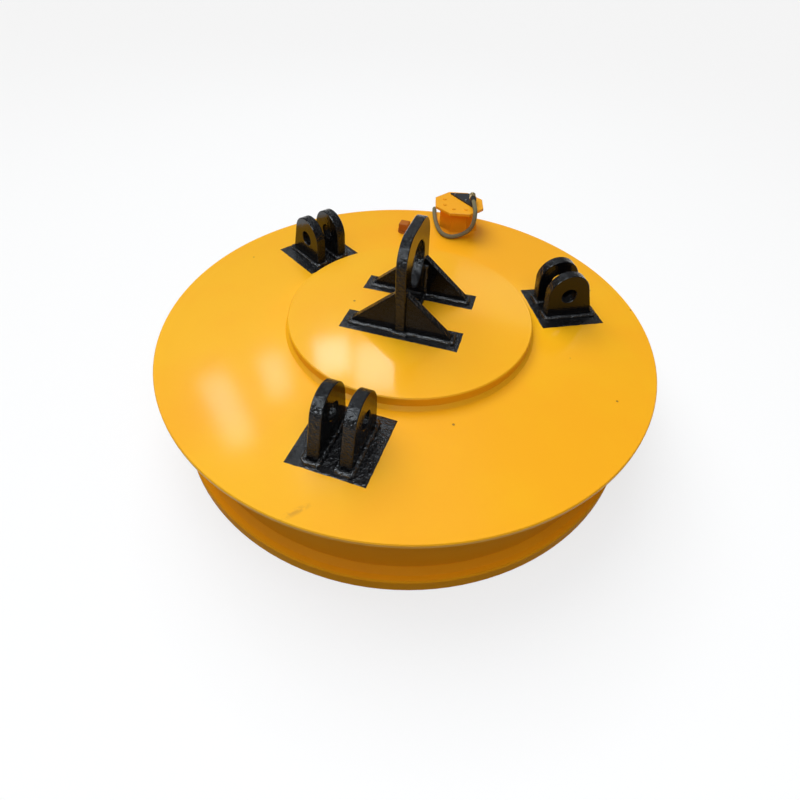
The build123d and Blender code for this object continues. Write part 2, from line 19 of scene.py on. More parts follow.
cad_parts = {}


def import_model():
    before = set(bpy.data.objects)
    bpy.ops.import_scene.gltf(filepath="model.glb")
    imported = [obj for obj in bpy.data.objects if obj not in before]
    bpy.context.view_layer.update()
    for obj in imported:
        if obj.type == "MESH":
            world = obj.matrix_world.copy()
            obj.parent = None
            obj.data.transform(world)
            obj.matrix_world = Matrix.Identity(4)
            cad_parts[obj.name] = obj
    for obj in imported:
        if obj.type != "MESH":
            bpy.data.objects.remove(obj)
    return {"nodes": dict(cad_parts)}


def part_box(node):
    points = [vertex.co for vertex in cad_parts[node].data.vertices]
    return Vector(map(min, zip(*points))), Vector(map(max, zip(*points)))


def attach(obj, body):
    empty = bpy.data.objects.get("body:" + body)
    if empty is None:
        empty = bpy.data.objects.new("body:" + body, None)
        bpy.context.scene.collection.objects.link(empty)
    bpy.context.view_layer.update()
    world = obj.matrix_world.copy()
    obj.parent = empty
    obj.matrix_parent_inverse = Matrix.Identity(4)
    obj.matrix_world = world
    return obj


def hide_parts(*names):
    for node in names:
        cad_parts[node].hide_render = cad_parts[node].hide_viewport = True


LOG = logging.getLogger("lifting_magnet")
MAGNET = "magnet"

Colour = tuple[float, float, float]
Point = tuple[float, float, float]
Flat = tuple[float, float]
Path = tuple[Sequence[Point], bool]
Node, Socket, Tree = bpy.types.Node, bpy.types.NodeSocket, bpy.types.NodeTree
Mesh, Object = bpy.types.Mesh, bpy.types.Object
Given = bpy.types.NodeOutputs
Link = "Socket | float | Sequence[float]"

FRAME_NODES: dict[str, Object] = {}
SURFACE = {"Colour": "Color", "Height": "Float", "Roughness": "Float"}


# ---- node trees ----
class Graph:
    """Adds nodes to one tree, from left to right, and joins them."""

    spacing = 190.0

    def __init__(self, tree: Tree) -> None:
        """Start on a node tree."""
        self.tree = tree
        self.column = 0

    def add(self, kind: str, inputs: dict | None = None, **settings: object) -> Node:
        """Add a node.

        Args:
            kind: the node's type.
            inputs: what its inputs get, by name or number.
            settings: the node's own properties.

        Returns:
            The new node.
        """
        node = self.tree.nodes.new(kind)
        node.location = (self.column * self.spacing, 0.0)
        self.column += 1
        for name, value in settings.items():
            setattr(node, name, value)
        self.feed(node.inputs, inputs or {})
        return node

    def feed(self, inputs: bpy.types.NodeInputs, values: dict) -> None:
        """Give inputs a value, or link another socket to them.

        Args:
            inputs: a node's inputs.
            values: a number, a tuple or an output socket for each, by name or number.
        """
        for name, value in values.items():
            if isinstance(value, Socket):
                self.tree.links.new(value, inputs[name])
            else:
                inputs[name].default_value = value

    def math(self, operation: str, *values: Link) -> Socket:
        """Add a Math node, and give its result."""
        return self.add("ShaderNodeMath", dict(enumerate(values)), operation=operation).outputs[0]

    def vector(self, operation: str, *values: Link, output: str | int = 0) -> Socket:
        """Add a Vector Math node, and give one of its outputs."""
        return self.add("ShaderNodeVectorMath", dict(enumerate(values)),
                        operation=operation).outputs[output]

    def blend(self, factor: Link, first: Link, second: Link) -> Socket:
        """Mix two colours: factor 0 gives the first, 1 the second."""
        return self.add("ShaderNodeMix", {"Factor": factor, 6: first, 7: second},
                        data_type="RGBA").outputs[2]

    def spread(self, value: Link, low: float, high: float, to_low: float = 0.0,
               to_high: float = 1.0) -> Socket:
        """Map one range smoothly onto another, clamped.

        Args:
            value: the value.
            low: start of its range.
            high: end of its range.
            to_low: what low becomes.
            to_high: what high becomes.

        Returns:
            The mapped value.
        """
        return self.add("ShaderNodeMapRange", {
            "Value": value, "From Min": low, "From Max": high, "To Min": to_low, "To Max": to_high},
            interpolation_type="SMOOTHSTEP").outputs[0]

    def noise(self, vector: Link, scale: Link, detail: float = 2.0,
              roughness: float = 0.5) -> Socket:
        """Add a noise texture with a scale per metre, and give its value."""
        return self.add("ShaderNodeTexNoise", {
            "Vector": vector, "Scale": scale, "Detail": detail, "Roughness": roughness}).outputs[0]

    def moved(self, vector: Link, location: Point = (0, 0, 0), turn: Point = (0, 0, 0),
              scale: Point = (1, 1, 1)) -> Socket:
        """Shift, turn (in radians) and stretch coordinates."""
        return self.add("ShaderNodeMapping", {
            "Vector": vector, "Location": location, "Rotation": turn, "Scale": scale}).outputs[0]

    def group(self, tree: Tree, inputs: dict) -> bpy.types.NodeOutputs:
        """Add a node group with its inputs, and give its outputs."""
        return self.add("ShaderNodeGroup", inputs, node_tree=tree).outputs

    def place(self, kind: str) -> Socket:
        """Coordinates of one kind, such as Object or Normal."""
        return self.add("ShaderNodeTexCoord").outputs[kind]

    def upward(self, vector: Link) -> Socket:
        """The Z part of a vector."""
        return self.add("ShaderNodeSeparateXYZ", {0: vector}).outputs[2]


def fresh_graph(owner: bpy.types.Material | bpy.types.World) -> Graph:
    """Empty the node tree of a material or a world, and start on it.

    Args:
        owner: the material or the world.

    Returns:
        Its graph.
    """
    owner.use_nodes = True
    owner.node_tree.nodes.clear()
    return Graph(owner.node_tree)


def add_sockets(tree: Tree, in_out: str, sockets: dict[str, object]) -> None:
    """Add sockets to a tree's interface.

    Args:
        tree: the tree.
        in_out: INPUT or OUTPUT.
        sockets: by name, either the kind of a socket or its default, which gives the kind.
    """
    for name, value in sockets.items():
        if isinstance(value, str):
            kind = value
        elif isinstance(value, tuple):
            kind = "Vector" if len(value) == 3 else "Color"
        else:
            kind = "Int" if isinstance(value, int) else "Float"
        socket = tree.interface.new_socket(name=name, in_out=in_out,
                                           socket_type=f"NodeSocket{kind}")
        if not isinstance(value, str):
            socket.default_value = value


def node_group(inputs: dict[str, object], outputs: dict[str, str],
               kind: str = "ShaderNodeTree") -> Callable[[Callable], Callable[[], Tree]]:
    """Turn a function that fills a tree into one that builds it once, under the function's name.

    Args:
        inputs: kind or default of each input.
        outputs: kind of each output.
        kind: the type of the tree.

    Returns:
        The decorator.
    """
    def wrap(fill: Callable[[Graph, Given], dict]) -> Callable[[], Tree]:
        """Wrap one function.

        Args:
            fill: adds the tree's nodes, and gives what its outputs get.

        Returns:
            The function that builds the tree.
        """
        @cache
        def build() -> Tree:
            """Build the tree.

            Returns:
                The tree, the same one each time.
            """
            tree = bpy.data.node_groups.new(fill.__name__, kind)
            add_sockets(tree, "INPUT", inputs)
            add_sockets(tree, "OUTPUT", outputs)
            graph = Graph(tree)
            graph.add("NodeGroupOutput", fill(graph, graph.add("NodeGroupInput").outputs))
            return tree

        return build

    return wrap


def painted(graph: Graph, geometry: Socket, paint: Socket) -> dict:
    """End a Geometry Nodes tree with Realize Instances and Set Material.

    Args:
        graph: the tree's graph.
        geometry: the geometry so far.
        paint: its material.

    Returns:
        What the tree's output gets.
    """
    real = graph.add("GeometryNodeRealizeInstances", {"Geometry": geometry})
    return {"Geometry": graph.add("GeometryNodeSetMaterial", {
        "Geometry": real.outputs[0], "Material": paint}).outputs[0]}


@node_group({"Vector": "Vector", "Colour": (0.9, 0.5, 0.02, 1),
             "Second colour": (0.9, 0.45, 0.02, 1),
             "Drift scale": 1.6, "Peel": 0.05, "Wave": 1.0, "Roughness": 0.3}, SURFACE)
def enamel_flow(graph: Graph, given: Given) -> dict:
    """Sprayed enamel: slow colour drift, orange peel and slow waves.

    Args:
        graph: the tree's graph.
        given: what comes in.

    Returns:
        What the tree's outputs get.
    """
    place = given["Vector"]
    drift = graph.noise(place, given["Drift scale"], 1.5)
    cloud = graph.noise(graph.moved(place, (3.1, 1.7, 0.4)), 9.0, 3.0)
    mixed = graph.math("MULTIPLY_ADD", cloud, 0.25, graph.math("MULTIPLY", drift, 0.75))
    part = graph.spread(mixed, 0.36, 0.64)
    peel = graph.noise(place, 260.0, 2.0)
    wave = graph.noise(place, 7.0, 1.0)
    return {"Colour": graph.blend(part, given["Colour"], given["Second colour"]),
            "Height": graph.math("MULTIPLY_ADD", wave, given["Wave"],
                                 graph.math("MULTIPLY", peel, given["Peel"])),
            "Roughness": graph.math("MULTIPLY_ADD", cloud, 0.08, given["Roughness"])}


@node_group({"Vector": "Vector", "Scale": 22.0, "Rarity": 0.93}, {"Mask": "Float"})
def paint_specks(graph: Graph, given: Given) -> dict:
    """Small dark specks and dust nibs in paint.

    Args:
        graph: the tree's graph.
        given: what comes in.

    Returns:
        What the tree's outputs get.
    """
    cells = graph.add("ShaderNodeTexVoronoi", {"Vector": given["Vector"], "Scale": given["Scale"]})
    dot = graph.spread(cells.outputs["Distance"], 0.05, 0.11, 1.0, 0.0)
    pick = graph.add("ShaderNodeSeparateColor", {0: cells.outputs["Color"]}).outputs[0]
    chosen = graph.math("GREATER_THAN", pick, given["Rarity"])
    return {"Mask": graph.math("MULTIPLY", dot, chosen)}


@node_group({"Vector": "Vector", "Scale": 90.0}, {"Height": "Float", "Mask": "Float"})
def brush_lumps(graph: Graph, given: Given) -> dict:
    """Thick brushed paint: lumps, brush drag and small pits.

    Args:
        graph: the tree's graph.
        given: what comes in.

    Returns:
        What the tree's outputs get.
    """
    place, size = given["Vector"], given["Scale"]
    lumps = graph.noise(place, size, 2.5, 0.55)
    fine = graph.noise(graph.moved(place, (2.3, 0.9, 1.1)), graph.math("MULTIPLY", size, 3.1), 2.0)
    drag = graph.noise(graph.moved(place, turn=(0.2, 0.3, 0.5), scale=(1.0, 0.16, 1.0)),
                       graph.math("MULTIPLY", size, 2.0), 1.0)
    height = graph.math("MULTIPLY_ADD", fine, 0.24, lumps)
    return {"Height": graph.math("MULTIPLY_ADD", drag, 0.3, height),
            "Mask": graph.spread(fine, 0.38, 0.62)}


@node_group({"Vector": "Vector", "Colour": (0.1, 0.1, 0.1, 1),
             "Second colour": (0.08, 0.08, 0.08, 1),
             "Scale": 200.0, "Stretch": (1, 1, 1), "Roughness": 0.5}, SURFACE)
def surface_grain(graph: Graph, given: Given) -> dict:
    """The fine grain of rubber, castings, laminate and rolled plate.

    Args:
        graph: the tree's graph.
        given: what comes in.

    Returns:
        What the tree's outputs get.
    """
    place = given["Vector"]
    stretched = graph.vector("MULTIPLY", place, given["Stretch"])
    grain = graph.noise(stretched, given["Scale"], 3.0, 0.6)
    patch = graph.noise(place, 22.0, 2.0)
    part = graph.math("MULTIPLY_ADD", grain, 0.5, graph.math("MULTIPLY", patch, 0.5))
    return {"Colour": graph.blend(graph.spread(part, 0.34, 0.66), given["Colour"],
                                  given["Second colour"]),
            "Height": grain,
            "Roughness": graph.math("MULTIPLY_ADD", part, 0.16, given["Roughness"])}


@node_group({"Vector": "Vector", "Rings per metre": 300.0}, {"Height": "Float"})
def turning_marks(graph: Graph, given: Given) -> dict:
    """The rings that a lathe or a winding leaves round the magnet's axis.

    Args:
        graph: the tree's graph.
        given: what comes in.

    Returns:
        What the tree's outputs get.
    """
    radius = graph.vector("LENGTH", graph.vector("MULTIPLY", given["Vector"], (1, 1, 0)),
                          output="Value")
    turns = graph.math("MULTIPLY", radius, given["Rings per metre"])
    wobble = graph.noise(given["Vector"], 30.0, 1.0)
    saw = graph.math("SINE", graph.math("MULTIPLY", graph.math("ADD", turns, wobble), 2 * math.pi))
    return {"Height": graph.math("MULTIPLY_ADD", saw, 0.5, 0.5)}


# ---- finishes ----
@dataclass(frozen=True)
class Finish:
    """What every finish has: a name and the record's slot.

    Attributes:
        name: the material's name.
        slot: the record's material slot.
    """

    name: str
    slot: str

    def fill(self, graph: Graph, place: Socket) -> tuple[dict, Socket, float]:
        """Add the finish's nodes; each finish has its own.

        Args:
            graph: the material's graph.
            place: object coordinates.

        Returns:
            What the shader's inputs get, the height of the surface, about 0 to 1, and what a
            height of 1 is in metres.
        """
        raise NotImplementedError

    def material(self) -> bpy.types.Material:
        """Build the material once.

        Returns:
            The material.
        """
        if self.name in bpy.data.materials:
            return bpy.data.materials[self.name]
        material = bpy.data.materials.new(self.name)
        graph = fresh_graph(material)
        values, height, depth = self.fill(graph, graph.place("Object"))
        bump = graph.add("ShaderNodeBump", {"Height": height, "Distance": depth, "Strength": 1.0})
        shader = graph.add("ShaderNodeBsdfPrincipled", {**values, "Normal": bump.outputs[0]})
        graph.add("ShaderNodeOutputMaterial", {"Surface": shader.outputs[0]})
        return material


@dataclass(frozen=True)
class Enamel(Finish):
    """Sprayed gloss enamel with slow drift, orange peel, specks and a scuff.

    Attributes:
        colour: main colour.
        second: colour it drifts to.
        roughness: gloss of the paint.
        coat: weight of the clear gloss over it.
        coat_roughness: its roughness.
        shine: specular level of the paint under the coat.
        specks: share of dark specks, 0 for none.
        scuffed: whether the scuff near the rim is on it.
        bare_below: whether faces that look straight down are bare machined steel.
        flat_gloss: whether the clear gloss is only on faces that look up.
        scuff_place: the middle of the scuff.
        scuff_turn: its direction, in degrees.
        scuff_reach: how quickly it ends along each axis, per metre.
    """

    colour: Colour = (0.92, 0.455, 0.008)
    second: Colour = (0.92, 0.405, 0.008)
    roughness: float = 0.40
    coat: float = 0.5
    coat_roughness: float = 0.13
    shine: float = 0.15
    specks: float = 0.04
    scuffed: bool = False
    bare_below: bool = False
    flat_gloss: bool = False
    scuff_place: Point = (-0.048, -0.718, 0.282)
    scuff_turn: float = -48.0
    scuff_reach: Point = (20.0, 80.0, 20.0)

    def scuff(self, graph: Graph, place: Socket) -> Socket:
        """Mask of the scuff.

        Args:
            graph: the material's graph.
            place: object coordinates.

        Returns:
            The mask.
        """
        near = graph.moved(place, tuple(-c for c in self.scuff_place))
        turned = graph.moved(near, turn=(0, 0, math.radians(self.scuff_turn)))
        reach = graph.vector("LENGTH", graph.moved(turned, scale=self.scuff_reach), output="Value")
        worn = graph.math("MULTIPLY", graph.spread(reach, 0.1, 1.0, 1.0, 0.0),
                          graph.spread(graph.noise(place, 70.0, 2.0), 0.36, 0.60))
        return graph.math("MULTIPLY", worn, 0.5)

    def fill(self, graph: Graph, place: Socket) -> tuple[dict, Socket, float]:
        """Add the enamel's nodes.

        Args:
            graph: the material's graph.
            place: object coordinates.

        Returns:
            What the shader's inputs get, the height of the surface and its depth in metres.
        """
        flow = graph.group(enamel_flow(), {
            "Vector": place, "Colour": (*self.colour, 1), "Second colour": (*self.second, 1),
            "Roughness": self.roughness - 0.04})
        specks = graph.group(paint_specks(), {"Vector": place, "Rarity": 1.0 - self.specks})
        faint = graph.math("MULTIPLY", specks["Mask"], 0.75)
        colour = graph.blend(faint, flow["Colour"], (0.10, 0.05, 0.02, 1))
        values = {"Roughness": flow["Roughness"], "Specular IOR Level": self.shine,
                  "Coat Weight": self.coat, "Coat Roughness": self.coat_roughness}
        if self.scuffed:
            colour = graph.blend(self.scuff(graph, place), colour, (0.50, 0.20, 0.02, 1))
        if self.bare_below:
            down = graph.math("LESS_THAN", graph.upward(graph.place("Normal")), -0.9)
            colour = graph.blend(down, colour, (0.42, 0.42, 0.43, 1))
            values["Metallic"] = down
        if self.flat_gloss:
            rise = graph.upward(graph.place("Normal"))
            values["Coat Weight"] = graph.spread(rise, 0.9, 0.98, 0.0, self.coat)
        return {**values, "Base Color": colour}, flow["Height"], 0.0012


@dataclass(frozen=True)
class BrushedBlack(Finish):
    """Thick black enamel put on by brush, smooth on plate faces and lumpy on edges and ground.

    Attributes:
        scale: lumps per metre.
        face_depth: depth of the lumps on the plates' faces, in metres.
        edge_depth: depth on the flame-cut edges, in metres.
        face_axis: direction that the plates' faces look along, or None for lumps all over.
        colour: the paint.
        second: the paint in its thin places.
        roughness: its gloss.
        shine: its specular level.
    """

    scale: float = 100.0
    face_depth: float = 0.0004
    edge_depth: float = 0.0038
    face_axis: Point | None = None
    colour: Colour = (0.0025, 0.0025, 0.0032)
    second: Colour = (0.0055, 0.00525, 0.0064)
    roughness: float = 0.11
    shine: float = 0.34

    def fill(self, graph: Graph, place: Socket) -> tuple[dict, Socket, float]:
        """Add the brushed paint's nodes.

        Args:
            graph: the material's graph.
            place: object coordinates.

        Returns:
            What the shader's inputs get, the height of the surface and its depth in metres.
        """
        lumps = graph.group(brush_lumps(), {"Vector": place, "Scale": self.scale})
        height, mask = lumps["Height"], lumps["Mask"]
        if self.face_axis is not None:
            facing = graph.vector("DOT_PRODUCT", graph.place("Normal"), self.face_axis,
                                  output="Value")
            weight = graph.spread(graph.math("ABSOLUTE", facing), 0.5, 0.9, 1.0,
                                  self.face_depth / self.edge_depth)
            height = graph.math("MULTIPLY", height, weight)
        return {"Base Color": graph.blend(mask, (*self.colour, 1), (*self.second, 1)),
                "Roughness": graph.math("MULTIPLY_ADD", mask, 0.10, self.roughness - 0.04),
                "Specular IOR Level": self.shine, "Coat Weight": 0.0}, height, self.edge_depth


@dataclass(frozen=True)
class Grained(Finish):
    """Rubber, plastic, laminate, casting or rolled metal with a fine grain.

    Attributes:
        colour: main colour.
        second: colour of the grain.
        scale: grains per metre.
        stretch: how the grain is drawn out along each axis.
        roughness: lowest roughness.
        metallic: 1 for bare metal.
        depth: depth of the grain, in metres.
        coat: weight of a gloss over it.
        rings: rings per metre round the magnet's axis, 0 for none.
    """

    colour: Colour = (0.1, 0.1, 0.1)
    second: Colour = (0.08, 0.08, 0.08)
    scale: float = 400.0
    stretch: Point = (1.0, 1.0, 1.0)
    roughness: float = 0.4
    metallic: float = 0.0
    depth: float = 0.0001
    coat: float = 0.0
    rings: float = 0.0

    def fill(self, graph: Graph, place: Socket) -> tuple[dict, Socket, float]:
        """Add the grain's nodes.

        Args:
            graph: the material's graph.
            place: object coordinates.

        Returns:
            What the shader's inputs get, the height of the surface and its depth in metres.
        """
        grain = graph.group(surface_grain(), {
            "Vector": place, "Colour": (*self.colour, 1), "Second colour": (*self.second, 1),
            "Scale": self.scale, "Stretch": self.stretch, "Roughness": self.roughness})
        height, colour = grain["Height"], grain["Colour"]
        if self.rings:
            marks = graph.group(turning_marks(), {"Vector": place, "Rings per metre": self.rings})
            height = graph.math("MULTIPLY_ADD", marks["Height"], 0.8, height)
            dark = (*[c * 0.75 for c in self.colour], 1)
            colour = graph.blend(graph.math("MULTIPLY", marks["Height"], 0.5), colour, dark)
        values = {"Base Color": colour, "Roughness": grain["Roughness"],
                  "Metallic": self.metallic, "Coat Weight": self.coat, "Coat Roughness": 0.15}
        return values, height, self.depth


class Paint(Enum):
    """The finishes of the magnet, by the piece that wears them."""

    TOP = Enamel("yellow_top", "yellow_paint", scuffed=True, flat_gloss=True)
    BOSS = Enamel("yellow_boss", "yellow_paint", coat_roughness=0.11, specks=0.02, flat_gloss=True)
    # Painted shade: the housing's neck, its weld and the terminal box body and weld wear a redder,
    # less yellow copy of the top's yellow paint. It stands for the shade under the top's rim and
    # under the lid.
    SIDE = Enamel("yellow_side_painted_shade", "yellow_paint", colour=(0.97, 0.37, 0.008),
                  second=(0.95, 0.34, 0.008), roughness=0.55, coat=0.0, shine=0.05)
    # Painted shade: the pole ring wears a redder, less yellow copy of the top's yellow paint, for
    # the shade under the top's overhang. Its bare steel underside is its own colour.
    POLE_RING = Enamel("yellow_pole_ring_painted_shade", "yellow_paint", colour=(0.97, 0.39, 0.007),
                       second=(0.95, 0.36, 0.007), roughness=0.55, coat=0.0, shine=0.03,
                       bare_below=True)
    BOX = Enamel("yellow_box", "yellow_paint", colour=(0.92, 0.42, 0.010),
                 second=(0.90, 0.38, 0.010), coat=0.3, coat_roughness=0.2, specks=0.0)
    # Painted shade: the filler plug and collar wear a darker brown-orange copy of the yellow paint,
    # for the shade on the plug's faces.
    FILLER = Enamel("yellow_filler_painted_shade", "yellow_paint", colour=(0.62, 0.20, 0.012),
                    second=(0.40, 0.11, 0.010), roughness=0.5, coat=0.1, specks=0.1)
    GROUND = BrushedBlack("black_ground", "black_paint", scale=115.0, edge_depth=0.0038,
                          roughness=0.08, shine=0.8)
    BEAD = BrushedBlack("black_bead", "black_weld", scale=120.0, edge_depth=0.0048, roughness=0.08,
                        shine=0.9)
    MACHINED = Grained("machined_steel", "machined_steel", (0.50, 0.50, 0.51), (0.42, 0.42, 0.43),
                       roughness=0.25, metallic=1.0, rings=420.0)
    BOLT = Grained("bolt_black_oxide", "bolt_steel", (0.06, 0.06, 0.065), (0.04, 0.04, 0.045),
                   roughness=0.38, metallic=1.0)
    MANGANESE = Grained("manganese_plate", "manganese_steel", (0.36, 0.34, 0.32),
                        (0.26, 0.23, 0.20), scale=140.0, roughness=0.42, metallic=1.0, depth=0.0003)
    WINDING = Grained("aluminium_strip", "aluminium_winding", (0.72, 0.72, 0.73),
                      (0.62, 0.62, 0.63), roughness=0.3, metallic=1.0, rings=900.0)
    LAMINATE = Grained("varnished_laminate", "coil_insulation", (0.52, 0.38, 0.16),
                       (0.42, 0.29, 0.11), scale=700.0, roughness=0.35, coat=0.3)
    COPPER = Grained("copper_bar", "copper", (0.78, 0.38, 0.24), (0.66, 0.30, 0.18), roughness=0.25,
                     metallic=1.0, stretch=(1.0, 1.0, 0.1))
    BRASS = Grained("brass_turned", "brass", (0.78, 0.58, 0.26), (0.68, 0.49, 0.20), roughness=0.22,
                    metallic=1.0, stretch=(1.0, 1.0, 0.1))
    PHENOLIC = Grained("moulded_phenolic", "moulded_insulator", (0.10, 0.035, 0.02),
                       (0.07, 0.025, 0.015), roughness=0.35, coat=0.3)
    GASKET = Grained("gasket_rubber", "gasket_rubber", (0.02, 0.02, 0.02), (0.028, 0.027, 0.026),
                     roughness=0.6)
    GLAND = Grained("gland_black", "gland_black", (0.012, 0.013, 0.018), (0.02, 0.021, 0.028),
                    scale=260.0, roughness=0.3, coat=0.4, depth=0.0003)
    BOOT = Grained("boot_rubber", "boot_rubber", (0.075, 0.052, 0.014), (0.055, 0.038, 0.012),
                   roughness=0.4)
    ZINC = Grained("zinc_plate", "zinc_steel", (0.62, 0.63, 0.66), (0.52, 0.52, 0.55),
                   roughness=0.22, metallic=1.0)
    # Partly painted reflection: the sheath's golden-olive colour is partly its own colour and
    # partly the yellow paint mirrored in it.
    SHEATH_AND_PAINTED_REFLECTION = Grained("cable_sheath", "cable_sheath", (0.56, 0.340, 0.034), (0.42, 0.250, 0.024),
                     scale=300.0, roughness=0.24, coat=0.35, depth=0.00015)
    STRAP = Grained("strap_nylon", "tie_plastic", (0.03, 0.03, 0.03), (0.04, 0.04, 0.04),
                    roughness=0.4)
    PLUG = Grained("cast_aluminium", "plug_metal", (0.55, 0.55, 0.56), (0.45, 0.45, 0.46),
                   scale=500.0, roughness=0.35, metallic=1.0, depth=0.00012)


WORN: dict[Paint, str] = {
    Paint.TOP: "top_plate",
    Paint.BOSS: "boss_plate boss_weld",
    # These pieces wear the copy of the yellow paint that carries painted shade.
    Paint.SIDE: "housing_shell neck_weld terminal_box_body terminal_box_weld",
    # The pole ring wears the copy of the yellow paint that carries painted shade.
    Paint.POLE_RING: "outer_pole_ring",
    Paint.BOX: "terminal_box_lid lid_screws",
    # The filler plug and collar wear the darker copy of the yellow paint that carries painted
    # shade.
    Paint.FILLER: "filler_collar filler_plug",
    Paint.MACHINED: "inner_core inner_pole_shoe",
    Paint.BOLT: "shoe_bolts",
    Paint.MANGANESE: "guard_plate guard_welds",
    Paint.WINDING: "coil_lower coil_upper",
    Paint.LAMINATE: "coil_spacer coil_bottom_insulation coil_top_insulation coil_inner_sleeve"
                    " coil_outer_sleeve",
    Paint.GASKET: "lid_gasket",
    Paint.COPPER: "coil_leads",
    Paint.BRASS: "terminal_studs plug_pins gland_elbow gland_nut",
    Paint.PHENOLIC: "lead_bushings terminal_board plug_insert",
    Paint.GLAND: "gland_base",
    Paint.ZINC: "gland_screws plug_nut",
    Paint.PLUG: "plug_body coupling_ring",
    Paint.STRAP: "coil_ties",
}


def dress(finish: Finish, *nodes: str) -> None:
    """Give carried-over CAD nodes a finish.

    Args:
        finish: the finish.
        nodes: names of the nodes.
    """
    material = finish.material()
    for node in nodes:
        obj = FRAME_NODES[node]
        if not obj.material_slots:
            obj.data.materials.append(material)
        for slot in obj.material_slots:
            slot.material = material
        LOG.info("node %s wears %s", node, finish.name)


@cache
def node_box(node: str) -> tuple[Point, Point]:
    """Lowest and highest corner of a CAD node, worked out once.

    Args:
        node: the node's name.

    Returns:
        The two corners.
    """
    low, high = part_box(node)
    return tuple(low), tuple(high)


# ---- mesh making ----
def placed(name: str, data: bpy.types.ID) -> Object:
    """Put new data into the scene as an object.

    Args:
        name: the object's name.
        data: a mesh, curve, lamp or camera.

    Returns:
        The object.
    """
    obj = bpy.data.objects.new(name, data)
    bpy.context.scene.collection.objects.link(obj)
    return obj


def meshed(name: str, body: bmesh.types.BMesh) -> Mesh:
    """Turn a bmesh into a mesh, and free it.

    Args:
        name: the mesh's name.
        body: the bmesh.

    Returns:
        The mesh.
    """
    mesh = bpy.data.meshes.new(name)
    body.to_mesh(mesh)
    body.free()
    return mesh


def finished(name: str, mesh: Mesh, finish: Finish, body: str, *replaced: str,
             smooth_below: float = 40.0) -> Object:
    """Put a mesh into the scene as a finished piece.

    Args:
        name: the piece's name.
        mesh: its mesh, in place.
        finish: its finish.
        body: the body it rides on.
        replaced: CAD nodes that it stands for.
        smooth_below: edges sharper than this many degrees stay sharp.

    Returns:
        The piece.
    """
    mesh.name = name
    obj = placed(name, mesh)
    mesh.materials.clear()
    mesh.materials.append(finish.material())
    mesh.shade_smooth()
    mesh.set_sharp_from_angle(angle=math.radians(smooth_below))
    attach(obj, body)
    if replaced:
        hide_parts(*replaced)
    LOG.info("piece %s: %d faces, wears %s", name, len(mesh.polygons), finish.name)
    return obj


def rounded_outline(corners: Sequence[Flat], radius: float,
                    steps: int = 4) -> list[Flat]:
    """Round the corners of a closed outline.

    Args:
        corners: the outline's corners in order.
        radius: radius of each corner.
        steps: points on each corner's arc, less one.

    Returns:
        The rounded outline.
    """
    out: list[Flat] = []
    count = len(corners)
    for index, corner in enumerate(corners):
        here = Vector(corner)
        before = (Vector(corners[index - 1]) - here).normalized()
        after = (Vector(corners[(index + 1) % count]) - here).normalized()
        start, end = here + before * radius, here + after * radius
        for step in range(steps + 1):
            t = step / steps
            point = start * (1 - t) ** 2 + here * 2 * t * (1 - t) + end * t ** 2
            out.append((point.x, point.y))
    return out


def spun(profile: Sequence[Flat], start: Vector, axis: Vector,
         segments: int = 40) -> Mesh:
    """Turn a profile round an axis into a closed mesh.

    Args:
        profile: distance along the axis and radius of each point; the ends are closed.
        start: where the axis starts.
        axis: its direction.
        segments: sides of the turned body.

    Returns:
        The mesh.
    """
    way = axis.normalized()
    side = way.orthogonal().normalized()
    other = way.cross(side)
    body = bmesh.new()
    rings = []
    for along, radius in profile:
        ring = []
        for index in range(segments):
            angle = 2 * math.pi * index / segments
            reach = side * math.cos(angle) + other * math.sin(angle)
            ring.append(body.verts.new(start + way * along + reach * radius))
        rings.append(ring)
    for low, high in zip(rings, rings[1:]):
        for index in range(segments):
            nxt = (index + 1) % segments
            body.faces.new((low[index], low[nxt], high[nxt], high[index]))
    body.faces.new(list(reversed(rings[0])))
    body.faces.new(rings[-1])
    bmesh.ops.recalc_face_normals(body, faces=body.faces)
    return meshed("spun", body)


# ---- Geometry Nodes ----
def circle(graph: Graph, sides: int, radius: Link) -> Socket:
    """Add a circle of so many sides to a Geometry Nodes tree."""
    return graph.add("GeometryNodeCurvePrimitiveCircle", {"Resolution": sides, "Radius": radius},
                     mode="RADIUS").outputs[0]


